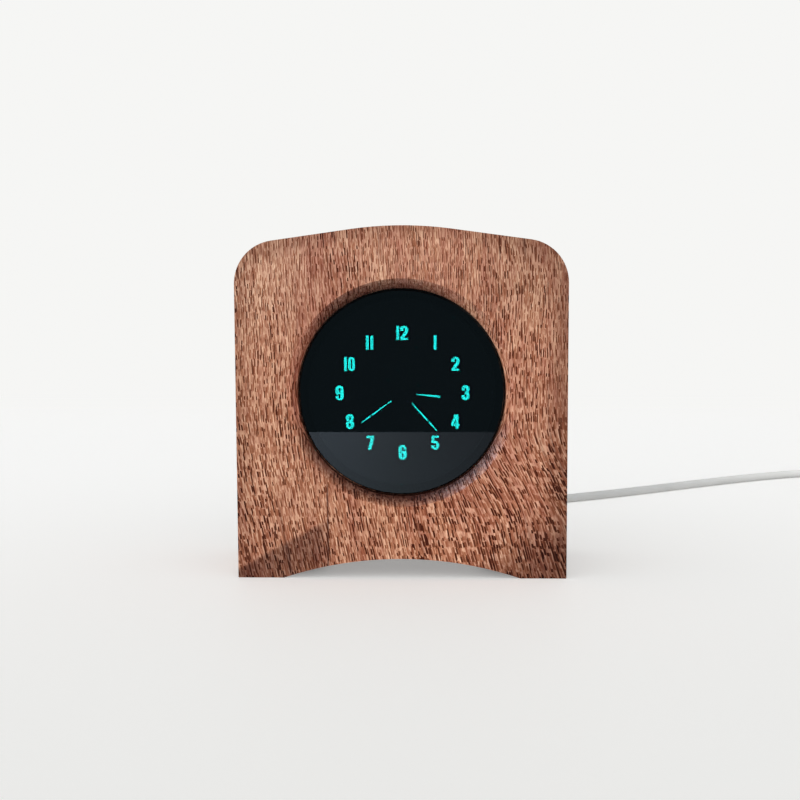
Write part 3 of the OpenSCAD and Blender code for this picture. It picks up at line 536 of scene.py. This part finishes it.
def with_corners(s, at, colour):
    """Darker, redder wood at the right-hand edge, in both right-hand corners and at the lower left."""
    right = s.times(s.remap(s.plus(at.x, at.sway), *RIGHT_X), RIGHT_DEPTH)
    high_right = s.times(s.remap(at.x, *HIGH_RIGHT_X), s.remap(at.z, *HIGH_RIGHT_Z))
    low_right = s.remap(at.to_corner, *LOW_RIGHT)
    # The dark corner at the lower left lies under a slanting line
    slope = s.times(s.plus(at.x, SLANT_X), SLANT)
    under = s.minus(s.plus(slope, SLANT_Z), at.z)
    low_left = s.times(s.remap(under, *LOW_LEFT_EDGE), s.remap(under, *LOW_LEFT_DEPTH))
    low_left = s.times(low_left, s.remap(at.x, *LOW_LEFT_X))
    return s.toned(s.most(right, high_right, low_right, low_left), colour, CORNER_TINT)


def with_outline(s, at, colour):
    """A darker margin along the outline of the front, and end grain where the fibres are cut across: darker
    as real end grain is, and darker still as painted shade, above all on the recess's upper and lower lips.
    """
    crown = s.plus(at.z, s.times(s.math("POWER", at.x, 2.0), 1 / (2 * CROWN_R)))
    margin = s.most(s.remap(s.absolute(at.x), *MARGIN_X), s.remap(crown, CASE_H - MARGIN_TOP, CASE_H))
    colour = s.toned(margin, colour, MARGIN_TINT)
    # End grain, partly the wood's own tone and partly painted shade
    return s.toned(s.remap(at.end_on, *END_GRAIN_AND_SHADE_SPAN), colour, END_GRAIN_AND_SHADE_TINT)


# Recess and rounded edges, with painted shade and painted light on the lips of the recess. A turn is 0 where
# the wood faces the front or the back and 1 where it is edge on.

# Painted shade on the lower lip of the recess
LOWER_LIP_SHADE_TURN = (0.1, 0.4)
LOWER_LIP_SHADE_Z = (-0.002, -0.020)
LOWER_LIP_SHADE_X = (0.010, 0.022, 1.0, 1.1)
LOWER_LIP_SHADE_TINT = (0.30, 0.25, 0.26)
# Painted light on the left lip of the recess
LEFT_LIP_LIGHT_TURN = (0.1, 0.2)
LEFT_LIP_LIGHT_Z = (-0.018, -0.006)
LEFT_LIP_LIGHT_X = (-0.019, -0.030)
LEFT_LIP_LIGHT_TINT = (1.4, 1.22, 1.22)
ROUND_START = (0.03, 0.2)
ROUND_END = (0.98, 0.8)
ROUND_TINT = (0.40, 0.34, 0.32)
BLACK_PAINT = (0.008, 0.008, 0.008)


def with_recess(s, at, colour):
    """Painted shade on the lower lip, painted light, a little redder, on the left lip, and black paint
    behind the lens; dark outer edges.
    """
    # Painted shade: the lower lip of the recess is darkened
    lower = s.times(s.remap(at.turned, *LOWER_LIP_SHADE_TURN), s.remap(at.up_from_bore, *LOWER_LIP_SHADE_Z))
    lower = s.times(at.in_recess, lower, s.remap(at.x, *LOWER_LIP_SHADE_X))
    colour = s.toned(lower, colour, LOWER_LIP_SHADE_TINT)
    # Painted light: the left lip of the recess is lighter and a little redder
    left = s.times(s.remap(at.x, *LEFT_LIP_LIGHT_X), s.remap(at.up_from_bore, *LEFT_LIP_LIGHT_Z))
    left = s.times(at.in_recess, s.remap(at.turned, *LEFT_LIP_LIGHT_TURN), left)
    colour = s.toned(left, colour, LEFT_LIP_LIGHT_TINT)
    rounded = s.times(s.remap(at.turned, *ROUND_START), s.remap(at.turned, *ROUND_END))
    rounded = s.times(rounded, s.minus(1.0, at.in_recess))
    colour = s.toned(rounded, colour, ROUND_TINT)
    return s.mix(s.math("LESS_THAN", at.from_bore, LEDGE_R), colour, BLACK_PAINT)


# Gloss and relief of the wood

POLISH_TURN = (0.02, 0.12, 0.0, 0.24)
POLISH_FLECK = (0.2, 0.8, 0.4, 1.0)
PORE_ROUGHNESS = (0.0, 1.0, 0.42, 0.65)
PORE_SHINE = (0.1, 0.8, 0.5, 0.1)
FIBRE_RELIEF = 0.3


def oiled_wood():
    s = Shader("oiled_wood", IOR=1.45)
    at = WoodPlace(s)
    fleck = layer(s, at.grain, *FLECKS)
    fibre = layer(s, at.grain, *FIBRES)
    colour, pores = with_pores(s, at, plain_wood(s, at, fleck, fibre), fleck)
    for change in (with_tones, with_veins, with_corners, with_outline, with_recess):
        colour = change(s, at, colour)
    # The lip of the recess is polished, unevenly as its flecks are
    polish = s.times(at.in_recess, s.remap(at.turned, *POLISH_TURN), s.remap(fleck, *POLISH_FLECK))
    s.set(Base_Color=colour, Roughness=s.minus(s.remap(pores, *PORE_ROUGHNESS), polish))
    s.set(Specular_IOR_Level=s.remap(pores, *PORE_SHINE))
    s.bump(s.minus(s.times(fibre, FIBRE_RELIEF), pores), strength=0.3, distance=0.1 * MM)
    return s.material


# Lens and display

# Noise keeps mostly within this range
NOISE_SPAN = (0.3, 0.7)
SMOKE = (0.100, 0.105, 0.110)
SMEAR = (0.35, 0.7, 0.0, 0.004)
CLEAR = (0.93, 0.96, 0.96)
CLEAR_ROUGHNESS = (0.0, 0.015)
CYAN = (0.016, 0.88, 0.77)
GLOW = 10.6
GRAIN_SHARE = 0.4
MOTTLE_SHARE = 0.6
DIM_SHARE = 0.8
POWDER_SHARE = 0.2


def smoked_lens():
    s = Shader("smoked_lens", Base_Color=SMOKE, IOR=1.5, Transmission_Weight=1.0)
    smear = s.noise(s.place(), scale=60.0, detail=4.0, roughness=0.6)
    s.set(Roughness=s.remap(smear, *SMEAR))
    s.bump(s.noise(s.place(), scale=45.0, detail=1.0), strength=0.02, distance=0.01 * MM)
    return s.material


def clear_glass():
    s = Shader("clear_glass", Base_Color=CLEAR, IOR=1.12, Transmission_Weight=1.0)
    smear = s.noise(s.place(), scale=90.0, detail=3.0)
    s.set(Roughness=s.remap(smear, *NOISE_SPAN, *CLEAR_ROUGHNESS))
    s.bump(s.noise(s.place(), scale=60.0, detail=1.0), strength=0.02, distance=0.02 * MM)
    return s.material


def phosphor(name, colour, strength):
    """A powder coat that glows unevenly, or not at all where the strength is 0."""
    s = Shader(name, Roughness=0.8, Specular_IOR_Level=0.2, Base_Color=tinted(colour, POWDER_SHARE))
    grain = s.noise(s.place(), scale=5200.0, detail=3.0, roughness=0.7)
    if strength:
        mottle = s.noise(s.place(), scale=900.0)
        level = s.remap(s.plus(s.times(grain, GRAIN_SHARE), s.times(mottle, MOTTLE_SHARE)), *NOISE_SPAN)
        s.set(Emission_Color=s.ramp(level, (0.0, tinted(colour, DIM_SHARE)), (1.0, colour)))
        s.set(Emission_Strength=strength)
    s.bump(grain, strength=0.3, distance=0.02 * MM)
    return s.material


# Plain materials with fine detail

MOULDED_DIM = 0.9
MOULDED_GLOSS = 0.07
BRUSHED = (300.0, 2600.0, 2600.0)
STAIN = (0.25, 0.7)
METAL_DIM = 0.82
METAL_SMOOTHER = 0.08
METAL_ROUGHER = 0.1
LACQUER = (0.012, 0.085, 0.035)
LACQUER_ROUGHNESS = (0.35, 0.5)
TRACK = (0.03, 0.16, 0.07)
TRACK_EDGE = (0.42, 0.5)
TRACKS_TO_METRE = 420.0
WEAVE_RELIEF = 0.3


def moulded(name, colour, roughness, grain, relief, shine=0.5):
    """Plastic, foam or dark glass: fine grain in the relief, slight changes of tone and gloss."""
    s = Shader(name, Specular_IOR_Level=shine)
    fine = s.noise(s.place(), scale=grain, detail=3.0, roughness=0.6)
    slow = s.noise(s.place(), scale=55.0, detail=3.0)
    s.set(
        Base_Color=s.ramp(slow, (NOISE_SPAN[0], tinted(colour, MOULDED_DIM)), (NOISE_SPAN[1], colour)),
        Roughness=s.remap(fine, *NOISE_SPAN, roughness - MOULDED_GLOSS, roughness + MOULDED_GLOSS),
    )
    s.bump(fine, strength=relief, distance=0.04 * MM)
    return s.material


def metal(name, colour, roughness):
    """Plated or machined metal with fine lines along one direction."""
    s = Shader(name, Metallic=1.0)
    lines = s.noise(s.place(), scale=BRUSHED, detail=3.0, roughness=0.6)
    stain = s.noise(s.place(), scale=160.0, detail=3.0)
    s.set(
        Base_Color=s.ramp(stain, (STAIN[0], tinted(colour, METAL_DIM)), (STAIN[1], colour)),
        Roughness=s.remap(lines, *NOISE_SPAN, roughness - METAL_SMOOTHER, roughness + METAL_ROUGHER),
    )
    s.bump(lines, strength=0.15, distance=0.02 * MM)
    return s.material


def circuit_board():
    s = Shader("circuit_board", Coat_Weight=0.3)
    point = s.place()
    cells = s.add("TexVoronoi", {"Vector": point, "Scale": TRACKS_TO_METRE}).outputs["Distance"]
    tracks = s.remap(cells, *TRACK_EDGE)
    weave = s.noise(point, scale=2500.0)
    s.set(
        Base_Color=s.mix(tracks, LACQUER, TRACK),
        Roughness=s.remap(weave, *NOISE_SPAN, *LACQUER_ROUGHNESS),
    )
    s.bump(s.plus(tracks, s.times(weave, WEAVE_RELIEF)), strength=0.2, distance=0.03 * MM)
    return s.material


# Colour and strength of the glow
PHOSPHOR_SLOTS = {
    "lit_phosphor": (CYAN, GLOW),
    "unlit_phosphor": ((0.02, 0.024, 0.025), 0.0),
}
# Colour, roughness, grains to the metre, relief and, for one of them, shine
MOULDED_SLOTS = {
    "dark_glass": ((0.004, 0.005, 0.006), 0.35, 2400.0, 0.1, 0.1),
    "black_foam": ((0.012, 0.012, 0.012), 0.85, 1500.0, 0.6),
    "black_plastic": ((0.022, 0.022, 0.024), 0.5, 2600.0, 0.5),
    "chip_black": ((0.018, 0.018, 0.02), 0.55, 3200.0, 0.4),
    "white_plastic": ((0.8, 0.8, 0.78), 0.38, 2200.0, 0.15),
    "white_cord": ((0.88, 0.88, 0.86), 0.5, 1600.0, 0.2),
}
# Colour and roughness
METAL_SLOTS = {
    "steel": ((0.02, 0.02, 0.021), 0.55),
    "tinned_metal": ((0.72, 0.73, 0.75), 0.3),
    "capacitor_can": ((0.68, 0.69, 0.71), 0.35),
    "screw_steel": ((0.42, 0.43, 0.45), 0.35),
    "brass": ((0.62, 0.46, 0.2), 0.32),
    "gold_header": ((0.7, 0.52, 0.2), 0.3),
}

slot_materials = {
    "oiled_wood": oiled_wood(),
    "smoked_lens": smoked_lens(),
    "clear_glass": clear_glass(),
    "circuit_board": circuit_board(),
}
for make, slots in ((phosphor, PHOSPHOR_SLOTS), (moulded, MOULDED_SLOTS), (metal, METAL_SLOTS)):
    for slot, values in slots.items():
        slot_materials[slot] = make(slot, *values)


def dress(piece, material):
    piece.data.materials.clear()
    piece.data.materials.append(material)


for part in frame["record"]["subparts"]:
    dress(nodes[part["node"]], slot_materials[part["material_slot"]])
dress(cord, slot_materials["white_cord"])

# Softened edges: width, segments and least angle in degrees of each bevel

WELD_DISTANCE = 0.002 * MM
BUTTON_BEVEL = (0.3 * MM, 3, 50)
BEVELS = {
    "wood_case": [(0.45 * MM, 6, 75), (0.5 * MM, 5, 20)],
    "usb_plug_body": [(0.5 * MM, 3, 50)],
    "supply_plug_body": [(0.6 * MM, 3, 50)],
    "cord_tie": [(0.35 * MM, 3, 50)],
    "set_button": [BUTTON_BEVEL],
    "up_button": [BUTTON_BEVEL],
    "down_button": [BUTTON_BEVEL],
}


def soften(piece, bevels):
    """Welds a node's split edges, then bevels them."""
    weld = piece.modifiers.new("weld", "WELD")
    weld.merge_threshold = WELD_DISTANCE
    for width, segments, angle in bevels:
        bevel = piece.modifiers.new("bevel", "BEVEL")
        bevel.width = width
        bevel.segments = segments
        bevel.limit_method = "ANGLE"
        bevel.angle_limit = math.radians(angle)
        bevel.harden_normals = True


for name, bevels in BEVELS.items():
    soften(nodes[name], bevels)

# World: directions point to where the light comes from, and spans are ranges of their cosines

BACKGROUND = 0.92
WARMTH = 0.985
BACKGROUND_TONE = (BACKGROUND, BACKGROUND, BACKGROUND * WARMTH)
DAYLIGHT_FROM = (-0.15, -0.9, 0.4)
DAYLIGHT_SPAN = (-0.7, 1.0)
DAYLIGHT = (0.2, 0.86)
DAYLIGHT_TINT = (0.98, 0.99, 1.0)
WALL_LIGHT = 0.15
WALL_TONE = (0.9, 0.9, 0.9)
ROOM = (0.085, 0.14, 0.17)
ROOM_SPAN = (-0.75, 0.1)
WINDOW_FROM = (-0.73, -0.31, 0.61)
WINDOW_SPAN = (0.86, 0.98)
WINDOW_LIGHT = 5.5
WINDOW_TINT = (0.85, 0.96, 1.12)


def make_world():
    world = bpy.data.worlds.new("studio")
    bpy.context.scene.world = world
    world.use_nodes = True
    w = Nodes(world.node_tree)
    w.tree.nodes.clear()
    way = w.add("TexCoord", {}).outputs["Generated"]
    ahead = w.split(way)[1]
    # Soft daylight, strongest from in front, a little above and to the left
    to_daylight = w.toward(way, Vector(DAYLIGHT_FROM).normalized())
    daylight = w.remap(to_daylight, *DAYLIGHT_SPAN, *DAYLIGHT, curve="LINEAR")
    # A white wall behind adds its own light
    wall = w.remap(ahead, 0.0, 1.0, 0.0, WALL_LIGHT, curve="LINEAR")
    fill = w.glow("Background", DAYLIGHT_TINT, w.plus(daylight, wall))
    # Gloss and glass show a dark room in front and the white wall behind
    room_level = w.remap(ahead, *ROOM_SPAN, curve="LINEAR")
    room = w.glow("Background", w.ramp(room_level, (0.0, ROOM), (1.0, WALL_TONE)))
    # A window up at the left shines along the lower right lip of the recess
    to_window = w.toward(way, Vector(WINDOW_FROM).normalized())
    window_level = w.remap(to_window, *WINDOW_SPAN, 0.0, WINDOW_LIGHT, curve="LINEAR")
    window = w.glow("Background", WINDOW_TINT, window_level)
    seen = w.glow("Background", BACKGROUND_TONE)
    from_camera, in_gloss = w.rays()
    lit = w.switch(in_gloss, fill, w.both(room, window))
    w.add("OutputWorld", {0: w.switch(from_camera, lit, seen)})


# Table: ranges of x, of y and of the distance from the clock, in metres

FLOOR_HALF = 6
# Painted shade: the table is darker towards the front and paler towards the back
TABLE_TONE_Y = (-0.25, 0.2)
TABLE_SHADED_FRONT_TONE = (0.805, 0.802, 0.783)
TABLE_LIT_BACK_TONE = (0.885, 0.88, 0.865)
TABLE_GLOW = 0.41
# Painted shade in the arch under the clock and beside its feet
ARCH_SHADE_FRONT_Y = (-0.021, -0.009)
ARCH_SHADE_BACK_Y = (0.026, 0.018)
ARCH_SHADE_X = (0.020, 0.034, 0.10, 0.60)
ARCH_SHADE_END_X = (0.052, 0.047)
FADE_Y = (0.32, 0.62)
FADE_ROUND = (0.7, 2.5)
# Painted reflection: how gloss and glass see the table
REFLECTION_X = (-0.075, 0.05)
PAINTED_REFLECTION_TONES = [(0.0, (0.80, 0.98, 1.18)), (0.55, (0.52, 0.65, 0.75)), (1.0, (0.34, 0.42, 0.50))]
REFLECTION_BACK_Y = (-0.02, 0.1)
TABLE_FRONT_Y = -0.396


def floor_material():
    """A pale table that keeps soft shadows and fades into the background, with painted shade towards its
    front and under the arch, and a painted reflection in gloss.
    """
    s = Shader("pale_table", Roughness=0.6, Specular_IOR_Level=0.1)
    point = s.place()
    x, y = s.split(point)[:2]
    from_camera, in_gloss = s.rays()
    # Painted shade: darker towards the front, paler towards the back
    tone = s.ramp(s.remap(y, *TABLE_TONE_Y), (0.0, TABLE_SHADED_FRONT_TONE), (1.0, TABLE_LIT_BACK_TONE))
    s.set(Base_Color=tone)
    surface = s.bsdf.outputs[0]
    # Painted shade: the table's glow is weaker in the arch under the clock, most of all beside the feet
    shade_under_arch = s.times(s.remap(y, *ARCH_SHADE_FRONT_Y), s.remap(y, *ARCH_SHADE_BACK_Y))
    aside = s.absolute(x)
    shade_beside_foot = s.times(s.remap(aside, *ARCH_SHADE_X), s.remap(aside, *ARCH_SHADE_END_X))
    strength = s.times(s.minus(1.0, s.times(shade_under_arch, shade_beside_foot)), TABLE_GLOW)
    pale = s.both(surface, s.glow("Emission", tone, strength))
    fade = s.most(s.remap(y, *FADE_Y), s.remap(s.length(point), *FADE_ROUND))
    seen = s.switch(fade, pale, s.glow("Emission", BACKGROUND_TONE))
    table = s.switch(from_camera, surface, seen)
    # Painted reflection: in gloss and glass the table shows as a glow, paler and bluer at the left, and a
    # dark room beyond the table's front edge
    painted_reflection = s.ramp(s.remap(x, *REFLECTION_X), *PAINTED_REFLECTION_TONES)
    painted_reflection = s.mix(s.remap(y, *REFLECTION_BACK_Y), painted_reflection, tone)
    painted_reflection = s.mix(s.math("LESS_THAN", y, TABLE_FRONT_Y), painted_reflection, ROOM)
    final = s.switch(in_gloss, table, s.glow("Emission", painted_reflection))
    s.feed(s.tree.nodes["Material Output"].inputs[0], final)
    return s.material


def plane(name, half):
    """A level square at the table's height, which is stage and not part of the clock."""
    corners = [(-half, -half, 0), (half, -half, 0), (half, half, 0), (-half, half, 0)]
    piece = new_piece(name, corners, [(0, 1, 2, 3)], smooth=False)
    return piece


# Key light

KEY_AT = (-0.87, -1.26, 0.90)
KEY_AIM = (0, 0, 0.055)
KEY_WIDTH = 0.6
KEY_POWER = 22.0
KEY_TINT = (1.0, 0.985, 0.96)


def make_key():
    data = bpy.data.lights.new("key", "AREA")
    data.shape = "DISK"
    data.size = KEY_WIDTH
    data.energy = KEY_POWER
    data.color = KEY_TINT
    key = bpy.data.objects.new("key", data)
    bpy.context.scene.collection.objects.link(key)
    toward = Vector(KEY_AIM) - Vector(KEY_AT)
    key.matrix_world = Matrix.Translation(KEY_AT) @ toward.to_track_quat("-Z", "Y").to_matrix().to_4x4()
    return key


def make_stage():
    floor = plane("floor", FLOOR_HALF)
    dress(floor, floor_material())
    # The key light shapes the clock; the table keeps only the daylight's soft shadow
    unlit = bpy.data.collections.new("table_without_key")
    unlit.objects.link(floor)
    make_key().light_linking.receiver_collection = unlit
    unlit.collection_objects[0].light_linking.link_state = "EXCLUDE"


make_world()
make_stage()

bpy.context.scene.view_settings.view_transform = "Standard"
